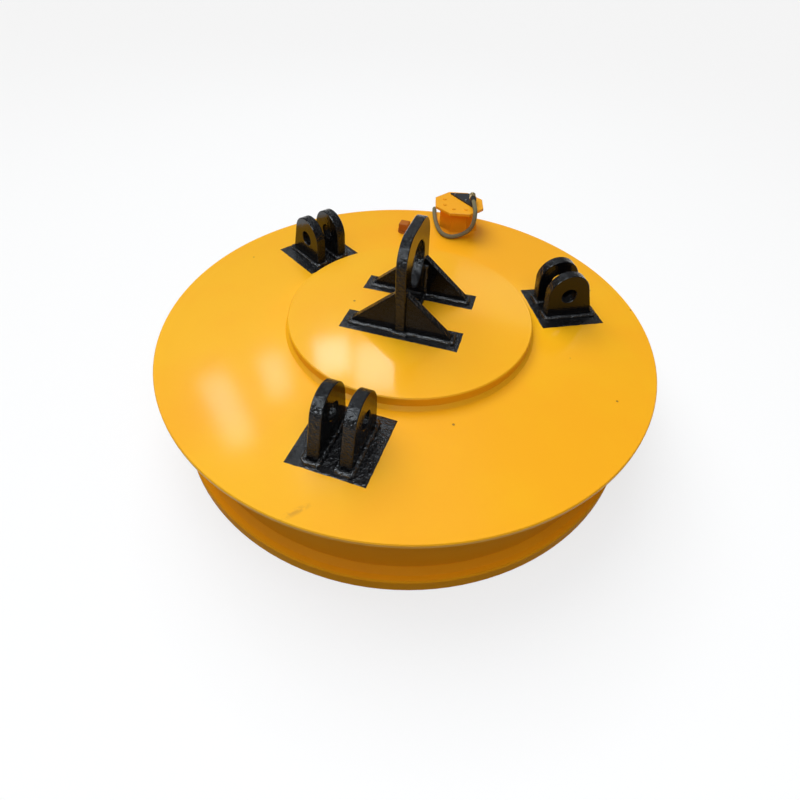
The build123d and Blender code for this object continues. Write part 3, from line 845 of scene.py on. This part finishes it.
@node_group({"Geometry": "Geometry", "Bead radius": 0.0072, "Ripple pitch": 0.006,
             "Ripple depth": 0.0008, "Lump scale": 70.0, "Lump depth": 0.0042, "Seed": 1.0,
             "Paint": "Material"}, {"Geometry": "Geometry"}, "GeometryNodeTree")
def weld_bead(graph: Graph, given: Given) -> dict:
    """Rippled, lumpy weld bead along a path.

    Args:
        graph: the tree's graph.
        given: what comes in.

    Returns:
        What the tree's outputs get.
    """
    even = graph.add("GeometryNodeResampleCurve", {"Curve": given["Geometry"], "Length": 0.0025},
                     mode="LENGTH")
    along = graph.add("GeometryNodeSplineParameter")
    keep = graph.add("GeometryNodeCaptureAttribute", domain="POINT")
    keep.capture_items.new("FLOAT", "Along")
    graph.feed(keep.inputs, {0: even.outputs[0], 1: along.outputs["Length"]})
    tube = graph.add("GeometryNodeCurveToMesh", {
        "Curve": keep.outputs[0], "Profile Curve": circle(graph, 14, given["Bead radius"]),
        "Fill Caps": True})
    turns = graph.math("DIVIDE", keep.outputs[1], given["Ripple pitch"])
    ripple = graph.math("ABSOLUTE", graph.math("SINE", graph.math("MULTIPLY", turns, math.pi)))
    ripple = graph.math("MULTIPLY", ripple, given["Ripple depth"])
    lumps = graph.add("ShaderNodeTexNoise", {"W": given["Seed"], "Scale": given["Lump scale"],
                                             "Detail": 2.0}, noise_dimensions="4D")
    lump = graph.math("MULTIPLY", graph.math("SUBTRACT", lumps.outputs[0], 0.45),
                      given["Lump depth"])
    rise = graph.math("ADD", ripple, graph.math("MULTIPLY", lump, 2.0))
    normal = graph.add("GeometryNodeInputNormal")
    push = graph.add("ShaderNodeVectorMath", {0: normal.outputs[0], "Scale": rise},
                     operation="SCALE")
    bead = graph.add("GeometryNodeSetPosition", {"Geometry": tube.outputs[0],
                                                 "Offset": push.outputs[0]})
    return painted(graph, bead.outputs[0], given["Paint"])


@node_group({"Geometry": "Geometry", "Count": 6, "Start radius": 0.010, "End radius": 0.014,
             "Rib radius": 0.0011, "Paint": "Material"},
            {"Geometry": "Geometry"}, "GeometryNodeTree")
def ribs_along_path(graph: Graph, given: Given) -> dict:
    """Rounded ribs along a path, square to it, growing from one end to the other.

    Args:
        graph: the tree's graph.
        given: what comes in.

    Returns:
        What the tree's outputs get.
    """
    points = graph.add("GeometryNodeCurveToPoints", {"Curve": given["Geometry"],
                                                     "Count": given["Count"]}, mode="COUNT")
    index = graph.add("GeometryNodeInputIndex")
    part = graph.math("DIVIDE", index.outputs[0], graph.math("SUBTRACT", given["Count"], 1.0))
    span = graph.math("SUBTRACT", given["End radius"], given["Start radius"])
    size = graph.math("MULTIPLY_ADD", span, part, given["Start radius"])
    size = graph.math("DIVIDE", size, given["Start radius"])
    rib = graph.add("GeometryNodeCurveToMesh", {
        "Curve": circle(graph, 32, given["Start radius"]),
        "Profile Curve": circle(graph, 8, given["Rib radius"])})
    ribs = graph.add("GeometryNodeInstanceOnPoints", {
        "Points": points.outputs[0], "Instance": rib.outputs[0],
        "Rotation": points.outputs["Rotation"], "Scale": size})
    return painted(graph, ribs.outputs[0], given["Paint"])


def grown(name: str, tree: Tree, paths: Sequence[Path], values: dict[str, object]) -> Mesh:
    """Run a Geometry Nodes tree on paths and keep the result as a plain mesh.

    Args:
        name: name of the mesh.
        tree: the tree.
        paths: each path's points, and whether it is closed.
        values: the tree's inputs by name.

    Returns:
        The mesh.
    """
    curve = bpy.data.curves.new(name + "_path", "CURVE")
    curve.dimensions = "3D"
    for points, closed in paths:
        spline = curve.splines.new("POLY")
        spline.points.add(len(points) - 1)
        for target, point in zip(spline.points, points):
            target.co = (*point, 1.0)
        spline.use_cyclic_u = closed
    obj = placed(name + "_path", curve)
    modifier = obj.modifiers.new("grow", "NODES")
    modifier.node_group = tree
    sockets = {item.name: item.identifier for item in tree.interface.items_tree
               if item.item_type == "SOCKET" and item.in_out == "INPUT"}
    for title, value in values.items():
        modifier[sockets[title]] = value
    graph = bpy.context.evaluated_depsgraph_get()
    mesh = bpy.data.meshes.new_from_object(obj.evaluated_get(graph), depsgraph=graph)
    obj.modifiers.remove(modifier)
    bpy.data.objects.remove(obj)
    bpy.data.curves.remove(curve)
    return mesh


def weld_beads(name: str, paths: Sequence[Path], seed: float, *replaced: str) -> Object:
    """Lay painted weld beads.

    Args:
        name: the piece's name.
        paths: where they run.
        seed: which part of the noise they use.
        replaced: CAD nodes that they stand for.

    Returns:
        The piece.
    """
    finish = Paint.BEAD.value
    mesh = grown(name, weld_bead(), paths, {"Seed": seed, "Paint": finish.material()})
    return finished(name, mesh, finish, MAGNET, *replaced, smooth_below=120.0)


# ---- the magnet's sub-assemblies ----
@dataclass
class Housing:
    """The plates that the black paint and the beads lie on.

    Attributes:
        rim_radius: radius of the top plate.
        boss_radius: radius of the raised boss.
        rim_drop: how much lower the top plate is at its rim than at the boss.
    """

    rim_radius: float = 0.750
    boss_radius: float = 0.375
    rim_drop: float = 0.005

    def level(self, radius: float) -> float:
        """Height of the painted top at a distance from the axis.

        Args:
            radius: distance from the axis.

        Returns:
            The height.
        """
        inner = node_box("top_plate")[1][2]
        outer = inner - self.rim_drop
        if radius <= self.boss_radius:
            return node_box("boss_plate")[1][2]
        wide = self.rim_radius - self.boss_radius
        return outer + (inner - outer) * (self.rim_radius - radius) / wide


@dataclass
class PaintedGround:
    """Black paint brushed on the plate round the lugs and the eye's gussets.

    Attributes:
        cell: spacing of the mesh.
        film: thickness of the paint.
        lump: height of its lumps.
        ramp: how far in from the edge it reaches its thickness.
        band: width of the uneven edge.
        sway: how uneven the edge is.
        waves: waves of the edge per metre.
        lumps: lumps per metre.
        lift: how far the patch lies over the plate.
    """

    housing: Housing
    cell: float = 0.0026
    film: float = 0.0009
    lump: float = 0.0010
    ramp: float = 0.004
    band: float = 0.006
    sway: float = 0.0012
    waves: float = 60.0
    lumps: float = 55.0
    lift: float = 0.0001

    def patch(self, name: str, centre: Flat, angle: float, half: Flat,
              seed: float) -> Object:
        """Lay one painted rectangle on the plate.

        Args:
            name: the piece's name.
            centre: its middle.
            angle: turn of its first side, in radians from +X.
            half: half its length and half its width.
            seed: which part of the noise it uses.

        Returns:
            The piece.
        """
        columns = int(2 * half[0] / self.cell)
        rows = int(2 * half[1] / self.cell)
        cos, sin = math.cos(angle), math.sin(angle)
        body = bmesh.new()
        grid = []
        for i in range(columns + 1):
            line = []
            for j in range(rows + 1):
                u = -half[0] + 2 * half[0] * i / columns
                v = -half[1] + 2 * half[1] * j / rows
                inset = min(half[0] - abs(u), half[1] - abs(v))
                if inset < self.band:
                    place = Vector((u * self.waves, v * self.waves, seed))
                    sway = noise.noise(place) * self.sway
                    u += math.copysign(1, u) * sway if half[0] - abs(u) < self.band else 0.0
                    v += math.copysign(1, v) * sway if half[1] - abs(v) < self.band else 0.0
                x = centre[0] + u * cos - v * sin
                y = centre[1] + u * sin + v * cos
                soft = min(1.0, inset / self.ramp)
                soft = soft * soft * (3 - 2 * soft)
                place = Vector((x * self.lumps, y * self.lumps, seed))
                lumpy = max(-0.7, noise.fractal(place, 1.0, 2.0, 3))
                rise = self.lift + soft * (self.film + self.lump * lumpy)
                line.append(body.verts.new((x, y, self.housing.level(math.hypot(x, y)) + rise)))
            grid.append(line)
        for i in range(columns):
            for j in range(rows):
                body.faces.new((grid[i][j], grid[i + 1][j], grid[i + 1][j + 1], grid[i][j + 1]))
        return finished(name, meshed(name, body), Paint.GROUND.value, MAGNET, smooth_below=80.0)


@dataclass
class ChainLugs:
    """Three pairs of chain lugs with their weld beads and painted ground.

    Attributes:
        angles: where each pair stands, in degrees, by name.
        circle: radius of the lug circle.
        thickness: of one plate.
        gap: between the two plates of a pair.
        inner_foot: length of the foot from the circle inwards.
        outer_foot: length of the foot outwards.
        ground_circle: radius on which the painted squares lie.
        ground_half: half the side of a painted square.
        bead_out: how far the bead's middle is out from the foot.
        bead_up: how far it is over the plate.
    """

    housing: Housing
    angles: dict[str, float] = field(
        default_factory=lambda: {"front": -92.5, "right": 27.5, "left": 147.5})
    circle: float = 0.510
    thickness: float = 0.032
    gap: float = 0.052
    inner_foot: float = 0.076
    outer_foot: float = 0.084
    ground_circle: float = 0.509
    ground_half: float = 0.1045
    bead_out: float = 0.0035
    bead_up: float = 0.0030

    def bead_path(self, angle: float, step: float) -> list[Point]:
        """Path of the bead round one plate's foot.

        Args:
            angle: where the pair stands, in radians.
            step: the plate's place across the pair.

        Returns:
            The path's points.
        """
        low = self.circle - self.inner_foot - self.bead_out
        high = self.circle + self.outer_foot + self.bead_out
        wide = self.thickness / 2 + self.bead_out
        corners = [(low, step - wide), (high, step - wide), (high, step + wide), (low, step + wide)]
        out = []
        for along, across in rounded_outline(corners, 0.007):
            x = along * math.cos(angle) - across * math.sin(angle)
            y = along * math.sin(angle) + across * math.cos(angle)
            out.append((x, y, self.housing.level(math.hypot(x, y)) + self.bead_up))
        return out

    def build(self, ground: PaintedGround) -> None:
        """Dress the lugs, lay their beads and paint the ground under them.

        Args:
            ground: the painter of the black ground.
        """
        step = (self.gap + self.thickness) / 2
        for number, (name, degrees) in enumerate(self.angles.items()):
            angle = math.radians(degrees)
            across = (-math.sin(angle), math.cos(angle), 0.0)
            finish = BrushedBlack(f"black_lug_{name}", "black_paint", face_axis=across)
            dress(finish, f"lug_{name}_a", f"lug_{name}_b")
            paths = [(self.bead_path(angle, side * step), True) for side in (-1, 1)]
            weld_beads(f"bead_{name}", paths, 3.0 + number, f"lug_weld_{name}")
            centre = (self.ground_circle * math.cos(angle), self.ground_circle * math.sin(angle))
            halves = (self.ground_half, self.ground_half)
            ground.patch(f"ground_{name}", centre, angle, halves, 7.0 + number)


@dataclass
class CentreEye:
    """The central eye plate, its four gussets, their beads and painted ground.

    Attributes:
        thickness: of the eye plate.
        half_width: half its width.
        gusset_inner: distance of a gusset's inner face from the middle.
        gusset_outer: distance of its outer face.
        reach: of a gusset from the axis.
        upright_height: length of the upright beads beside the eye plate.
        bead_out: how far the bead's middle is out from the feet.
        bead_up: how far it is over the boss.
        upright_out: how far an upright bead is out from the corner it fills.
    """

    housing: Housing
    thickness: float = 0.030
    half_width: float = 0.124
    gusset_inner: float = 0.090
    gusset_outer: float = 0.115
    reach: float = 0.152
    upright_height: float = 0.112
    bead_out: float = 0.0035
    bead_up: float = 0.003
    upright_out: float = 0.002

    def build(self, ground: PaintedGround) -> None:
        """Dress the eye, lay its beads and paint the ground under it.

        Args:
            ground: the painter of the black ground.
        """
        plate = BrushedBlack("black_eye_plate", "black_paint", face_axis=(1.0, 0.0, 0.0))
        ribs = BrushedBlack("black_gussets", "black_paint", face_axis=(0.0, 1.0, 0.0), scale=90.0,
                            shine=0.15)
        dress(plate, "eye_plate")
        dress(ribs, *[f"eye_gusset_{end}_{side}"
                      for end in ("front", "rear") for side in ("left", "right")])
        out, z = self.bead_out, node_box("boss_plate")[1][2] + self.bead_up
        x0, x1 = self.thickness / 2 + out, self.reach + out
        y0, y1, y2 = self.gusset_inner - out, self.gusset_outer + out, self.half_width + out
        quarter = [(x0, y0), (x1, y0), (x1, y1), (x0, y1), (x0, y2)]
        corners = []
        for side, end in ((1, 1), (-1, 1), (-1, -1), (1, -1)):
            ordered = quarter if side == end else reversed(quarter)
            corners += [(side * x, end * y) for x, y in ordered]
        path = [(x, y, z) for x, y in rounded_outline(corners, 0.0018, 3)]
        paths: list[Path] = [(path, True)]
        for side in (-1, 1):
            for end in (-1, 1):
                x = side * (self.thickness / 2 + self.upright_out)
                y = end * (self.gusset_inner - self.upright_out)
                paths.append(([(x, y, z), (x, y, z + self.upright_height)], False))
        weld_beads("bead_eye", paths, 11.0, "eye_weld", "gusset_welds")
        ground.patch("ground_eye_front", (-0.001, -0.103), 0.0, (0.180, 0.044), 21.0)
        ground.patch("ground_eye_rear", (-0.001, 0.1005), 0.0, (0.180, 0.0385), 23.0)


@dataclass
class TerminalBox:
    """The gland on the terminal box's lid.

    Attributes:
        gland_offset: from the middle of the lid's top to the gland's outlet axis.
        gland_angle: direction of the outlet.
        boot_start: from the gland's axis to the end of its nut.
        boot_length: of the boot.
    """

    gland_offset: Point = (0.044, 0.036, 0.022)
    gland_angle: float = math.radians(-74.0)
    boot_start: float = 0.028
    boot_length: float = 0.022

    def outlet(self) -> tuple[Vector, Vector]:
        """Where the gland's nut ends, and the direction of the cable there.

        Returns:
            The place and the direction.
        """
        low, high = node_box("terminal_box_lid")
        middle = Vector(((low[0] + high[0]) / 2, (low[1] + high[1]) / 2, high[2]))
        middle += Vector(self.gland_offset)
        way = Vector((math.cos(self.gland_angle), math.sin(self.gland_angle), 0.0))
        return middle + way * self.boot_start, way

    def build(self) -> None:
        """Make the gland's ribbed boot."""
        start, way = self.outlet()
        ribbed_boot("gland_boot", start, way, self.boot_length, 0.0115, 0.0100, "cable_boot")


def ribbed_boot(name: str, start: Vector, way: Vector, length: float, first: float, last: float,
                node: str) -> Object:
    """Make a tapered strain relief with ribs.

    Args:
        name: the piece's name.
        start: its first end.
        way: its direction.
        length: its length.
        first: radius at the start.
        last: radius at the end.
        node: the CAD node that it stands for.

    Returns:
        The piece.
    """
    steps, root, margin = 12, 0.93, 0.12

    def radius(part: float) -> float:
        """Radius between the ribs, so far along."""
        return (first + (last - first) * part) * root

    core = [(length * step / steps, radius(step / steps)) for step in range(steps + 1)]
    sources = [
        spun([(0.0, 0.0088), *core, (length, 0.0084)], start, way),
        grown(name, ribs_along_path(), [([tuple(start + way * length * margin),
                                   tuple(start + way * length * (1 - margin))], False)], {
            "Start radius": radius(margin), "End radius": radius(1 - margin),
            "Paint": Paint.BOOT.value.material()})]
    joined = bmesh.new()
    for source in sources:
        joined.from_mesh(source)
        bpy.data.meshes.remove(source)
    return finished(name, meshed(name, joined), Paint.BOOT.value, MAGNET, node)


@dataclass
class SupplyCable:
    """The two-core supply cable: from the gland over the rim to a strapped coil and its plug.

    Attributes:
        diameter: of the sheath.
        coil_centre: of the spare coil on the ground.
        inner_turn: radius of the inner turns.
        outer_turn: radius of the outer turns.
        layers: heights of the layers, from the top one down.
        steps: points on each turn.
        run: from the gland to the coil.
        tail: from the coil to the plug.
    """

    diameter: float = 0.016
    coil_centre: Flat = (-0.226, 0.821)
    inner_turn: float = 0.080
    outer_turn: float = 0.096
    layers: tuple[float, ...] = (0.058, 0.042, 0.026, 0.010)
    steps: int = 16
    run: tuple[Point, ...] = (
        (0.05878, 0.6429, 0.404), (0.06705, 0.6141, 0.404),
        (0.079, 0.583, 0.397), (0.083, 0.563, 0.376), (0.079, 0.557, 0.349), (0.068, 0.558, 0.325),
        (0.05, 0.558, 0.308), (0.03, 0.549, 0.298), (0.004, 0.536, 0.294), (-0.02, 0.539, 0.294),
        (-0.042, 0.556, 0.294), (-0.06, 0.584, 0.294), (-0.077, 0.619, 0.294),
        (-0.094, 0.662, 0.293), (-0.109, 0.708, 0.292), (-0.119, 0.746, 0.291),
        (-0.127, 0.786, 0.274), (-0.13, 0.816, 0.23), (-0.128, 0.832, 0.18), (-0.126, 0.83, 0.128),
        (-0.127, 0.806, 0.084), (-0.143, 0.773, 0.058))
    tail: tuple[Point, ...] = (
        (-0.172, 0.915, 0.010), (-0.118, 0.906, 0.020),
        (-0.074, 0.900, 0.035), (-0.028, 0.900, 0.035))

    def turns(self) -> list[Point]:
        """Points of the coil: two turns a layer, the outer and the inner by turns, going down.

        Returns:
            The points, clockwise from above, from where the run joins to where the tail leaves.
        """
        first = math.atan2(self.run[-1][1] - self.coil_centre[1],
                           self.run[-1][0] - self.coil_centre[0])
        sweep = (first - math.pi / 2) % math.tau + (2 * len(self.layers) - 1) * math.tau
        count = int(round(sweep / math.tau * self.steps))
        out = []
        for index in range(1, count + 1):
            angle = first - index * sweep / count
            turn = index * sweep / count / math.tau
            radius = self.outer_turn + (self.inner_turn - self.outer_turn) * self.settle(turn)
            out.append((self.coil_centre[0] + radius * math.cos(angle),
                        self.coil_centre[1] + radius * math.sin(angle), self.height(turn)))
        return out

    def settle(self, turn: float) -> float:
        """Share of the inner turns' radius so many turns down the coil: 0 outer, 1 inner."""
        return max(0.0, min(1.0, (1.0 - abs(turn % 4.0 - 2.0)) * 3.0 + 0.5))

    def height(self, turn: float) -> float:
        """Height of the cable's middle at a place on the coil.

        Args:
            turn: turns since the top outer turn began.

        Returns:
            The height.
        """
        layer = turn / 2.0
        low = min(len(self.layers) - 1, int(layer))
        high = min(len(self.layers) - 1, low + 1)
        part = max(0.0, min(1.0, (layer - low - 0.85) / 0.15))
        return self.layers[low] + (self.layers[high] - self.layers[low]) * part

    def build(self) -> Object:
        """Lay the cable as one smooth curve.

        Returns:
            The cable.
        """
        points = list(self.run) + self.turns()[1:] + list(self.tail)
        curve = bpy.data.curves.new("supply_cable", "CURVE")
        curve.dimensions = "3D"
        curve.resolution_u = 12
        curve.bevel_depth = self.diameter / 2
        curve.bevel_resolution = 6
        curve.use_fill_caps = True
        spline = curve.splines.new("NURBS")
        spline.points.add(len(points) - 1)
        for target, point in zip(spline.points, points):
            target.co = (*point, 1.0)
        spline.order_u = 3
        spline.use_endpoint_u = True
        spline.use_smooth = True
        obj = placed("supply_cable", curve)
        # The sheath's colour carries partly painted reflection of the yellow paint.
        curve.materials.append(Paint.SHEATH_AND_PAINTED_REFLECTION.value.material())
        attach(obj, MAGNET)
        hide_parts("cable_lead", "cable_coil", "cable_tail")
        LOG.info("piece supply_cable: %d points", len(points))
        return obj


@dataclass
class CablePlug:
    """The plug at the cable's end.

    Attributes:
        start: where its boot starts.
        boot_length: of the boot.
    """

    start: Point = (-0.028, 0.900, 0.035)
    boot_length: float = 0.040

    def build(self) -> Object:
        """Make the plug's boot.

        Returns:
            The boot.
        """
        return ribbed_boot("plug_ribbed_boot", Vector(self.start), Vector((1.0, 0.0, 0.0)),
                           self.boot_length, 0.0102, 0.016, "plug_boot")


# ---- studio ----
@dataclass
class Studio:
    """Floor, sky, window lights and camera.

    Attributes:
        floor_size: side of the floor.
        floor_grey: how much light it gives back.
        backdrop: brightness of floor and sky to the camera.
        daylight: colour of the windows.
        sky_low: brightness of the sky at the horizon.
        sky_high: brightness overhead.
        camera_place: where the camera stands.
        camera_way: where it looks.
        camera_level: its right-hand side before its roll.
        camera_roll: its roll.
        lens: its focal length, in millimetres.
        shift: its lens shift.
        skylight_spread: angle that the skylight fills, in degrees.
        target: what the windows face.
    """

    floor_size: float = 60.0
    floor_grey: float = 0.26
    backdrop: float = 0.98
    daylight: Colour = (0.84, 0.93, 1.0)
    sky_low: float = 0.12
    sky_high: float = 0.19
    camera_place: Point = (0.333, -1.242, 1.311)
    camera_way: Point = (-0.1675, 0.7289, -0.6638)
    camera_level: Point = (0.9746, 0.2239, 0.0)
    camera_roll: float = math.radians(3.889)
    lens: float = 23.42
    shift: Flat = (-0.0296, -0.065)
    skylight_spread: float = 55.0
    target: Point = (0.0, -0.3, 0.3)

    def floor(self) -> None:
        """Lay the pale floor: it keeps shadows, and shows its own white to camera and gloss."""
        half = self.floor_size / 2
        mesh = bpy.data.meshes.new("floor")
        corners = [(-half, -half, 0), (half, -half, 0), (half, half, 0), (-half, half, 0)]
        mesh.from_pydata(corners, [], [(0, 1, 2, 3)])
        obj = placed("floor", mesh)
        material = bpy.data.materials.new("floor_white")
        graph = fresh_graph(material)
        path = graph.add("ShaderNodeLightPath")
        seen = graph.math("MAXIMUM", path.outputs["Is Camera Ray"], path.outputs["Is Glossy Ray"])
        seen = graph.math("MAXIMUM", seen, path.outputs["Is Transmission Ray"])
        grey = self.floor_grey
        matt = graph.add("ShaderNodeBsdfDiffuse", {"Color": (grey, grey, grey, 1)})
        glow = graph.add("ShaderNodeEmission", {"Color": (1, 1, 1, 1), "Strength": graph.math(
            "MULTIPLY", seen, self.backdrop - grey)})
        both = graph.add("ShaderNodeAddShader", {0: matt.outputs[0], 1: glow.outputs[0]})
        graph.add("ShaderNodeOutputMaterial", {"Surface": both.outputs[0]})
        mesh.materials.append(material)

    def sky(self) -> None:
        """Light from all round, brighter from above, and white to the camera."""
        world = bpy.data.worlds.new("studio_sky")
        bpy.context.scene.world = world
        graph = fresh_graph(world)
        way = graph.add("ShaderNodeTexCoord").outputs["Generated"]
        height = graph.add("ShaderNodeSeparateXYZ", {0: way}).outputs[2]
        level = graph.spread(height, 0.05, 0.85, self.sky_low, self.sky_high)
        path = graph.add("ShaderNodeLightPath")
        level = graph.math("MULTIPLY_ADD", path.outputs["Is Camera Ray"],
                           graph.math("SUBTRACT", self.backdrop, level), level)
        light = graph.add("ShaderNodeBackground", {"Color": (1, 1, 1, 1), "Strength": level})
        graph.add("ShaderNodeOutputWorld", {"Surface": light.outputs[0]})

    def hang(self, lamp: bpy.types.Light, azimuth: float, elevation: float,
             distance: float) -> Object:
        """Hang a lamp that faces the magnet.

        Args:
            lamp: the lamp.
            azimuth: its direction, in degrees from +X.
            elevation: its height over the horizon, in degrees.
            distance: from what it faces.

        Returns:
            The lamp's object.
        """
        obj = placed(lamp.name, lamp)
        az, el = math.radians(azimuth), math.radians(elevation)
        way = Vector((math.cos(el) * math.cos(az), math.cos(el) * math.sin(az), math.sin(el)))
        obj.location = Vector(self.target) + way * distance
        obj.rotation_euler = way.to_track_quat("Z", "Y").to_euler()
        return obj

    def window(self, name: str, azimuth: float, elevation: float, size: Flat, radiance: float,
               distance: float = 4.0, lights: bool = True) -> None:
        """Hang one soft window light.

        Args:
            name: its name.
            azimuth: its direction, in degrees from +X.
            elevation: its height over the horizon, in degrees.
            size: width and height of the pane.
            radiance: how bright the pane is.
            distance: from the magnet's top.
            lights: whether it lights matt surfaces too, or is only mirrored in gloss.
        """
        lamp = bpy.data.lights.new(name, "AREA")
        lamp.shape = "RECTANGLE"
        lamp.color = self.daylight
        lamp.size, lamp.size_y = size
        lamp.energy = radiance * math.pi * size[0] * size[1]
        self.hang(lamp, azimuth, elevation, distance).visible_diffuse = lights

    def skylight(self, azimuth: float, elevation: float, strength: float) -> None:
        """Add the broad light of the hall's roof, which lights but isn't mirrored.

        Args:
            azimuth: its middle's direction, in degrees from +X.
            elevation: its height over the horizon, in degrees.
            strength: in watts a square metre.
        """
        lamp = bpy.data.lights.new("skylight", "SUN")
        lamp.angle = math.radians(self.skylight_spread)
        lamp.energy = strength
        self.hang(lamp, azimuth, elevation, 4.0).visible_glossy = False

    def camera(self) -> None:
        """Set the camera."""
        data = bpy.data.cameras.new("camera")
        data.sensor_width = 36.0
        data.lens = self.lens
        data.shift_x, data.shift_y = self.shift
        data.clip_end = 100.0
        forward = Vector(self.camera_way).normalized()
        level = Vector(self.camera_level).normalized()
        above = level.cross(forward)
        right = level * math.cos(self.camera_roll) + above * math.sin(self.camera_roll)
        up = above * math.cos(self.camera_roll) - level * math.sin(self.camera_roll)
        turn = Matrix((right, up, -forward)).transposed()
        obj = placed("camera", data)
        obj.matrix_world = Matrix.Translation(Vector(self.camera_place)) @ turn.to_4x4()
        bpy.context.scene.camera = obj

    def build(self) -> None:
        """Set up the studio."""
        bpy.context.scene.view_settings.view_transform = "Standard"
        self.floor()
        self.sky()
        self.camera()
        self.window("pane_a", 141.7, 44.9, (0.26, 0.75), 7.5)
        self.window("pane_b", 131.2, 42.4, (0.24, 0.45), 7.5)
        self.window("pane_c", 118.6, 41.8, (0.34, 0.36), 12.0)
        self.window("pane_d", 110.1, 43.9, (0.42, 0.48), 9.0)
        self.window("softbox", -75.0, 66.0, (3.4, 2.6), 2.2, distance=3.6)
        self.window("pane_front", -108.0, 46.0, (1.6, 0.9), 15.0, lights=False)
        self.window("pane_side", -146.0, 38.0, (1.4, 0.9), 15.0, lights=False)
        self.window("pane_right", 86.0, 32.0, (1.5, 0.5), 1.1, distance=4.5)
        self.window("pane_left", 126.0, 57.0, (0.5, 0.5), 1.6)
        self.skylight(138.0, 56.0, 2.05)


def main() -> None:
    """Load the frame, dress it, add the pieces and set up the studio."""
    logging.basicConfig(level=logging.INFO, format="%(name)s: %(message)s")
    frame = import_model()
    FRAME_NODES.update(frame["nodes"])
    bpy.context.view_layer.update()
    Studio().build()
    cable = SupplyCable()
    cord = cable.build()
    for paint, nodes in WORN.items():
        dress(paint.value, *nodes.split())
    housing = Housing()
    ground = PaintedGround(housing)
    ChainLugs(housing).build(ground)
    CentreEye(housing).build(ground)
    TerminalBox().build()
    boot = CablePlug().build()
    bpy.context.view_layer.update()


if __name__ == "__main__":
    main()
